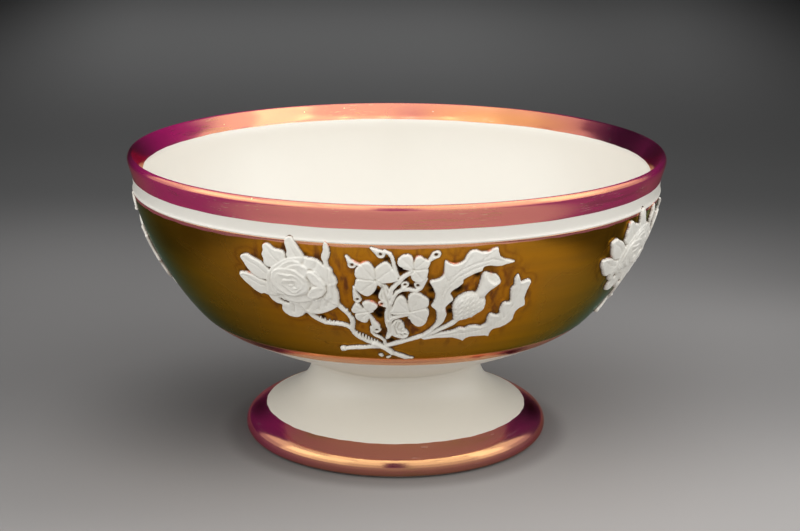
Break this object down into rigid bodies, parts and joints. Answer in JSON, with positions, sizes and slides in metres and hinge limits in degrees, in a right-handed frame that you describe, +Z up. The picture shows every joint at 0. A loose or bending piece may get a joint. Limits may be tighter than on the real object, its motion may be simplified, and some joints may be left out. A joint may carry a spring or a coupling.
{
  "type": "slop bowl",
  "caption": "Footed round slop bowl in cream glazed earthenware with lustre bands and applied relief bouquets of rose, shamrock and thistle, for emptying tea dregs at table.",
  "frame": {"origin": "on the table, under the middle of the foot", "axes": "+Z up along the turning axis, the front bouquet faces -Y"},
  "size_m": [0.1654, 0.1654, 0.0912],
  "materials": {
    "cream_glaze": "glossy cream-white glaze over earthenware",
    "sprig_white": "soft gloss white relief clay under glaze",
    "pink_lustre": "iridescent pink to purple metal lustre over glaze",
    "copper_lustre": "copper metal lustre line over glaze",
    "bronze_lustre": "olive bronze metal lustre ground over glaze"
  },
  "bodies": {
    "root": {"bowl_body": "cream_glaze", "pedestal_foot": "cream_glaze", "luting_slip": "cream_glaze", "rim_lustre_band": "pink_lustre", "belly_upper_line": "pink_lustre", "belly_lustre_ground": "bronze_lustre", "belly_lower_line": "copper_lustre", "foot_lustre_band": "pink_lustre", "rose_sprig_1": "sprig_white", "rose_sprig_2": "sprig_white", "rose_sprig_3": "sprig_white", "rose_sprig_4": "sprig_white", "shamrock_sprig_1": "sprig_white", "shamrock_sprig_2": "sprig_white", "shamrock_sprig_3": "sprig_white", "shamrock_sprig_4": "sprig_white", "thistle_sprig_1": "sprig_white", "thistle_sprig_2": "sprig_white", "thistle_sprig_3": "sprig_white", "thistle_sprig_4": "sprig_white"}
  },
  "joints": []
}
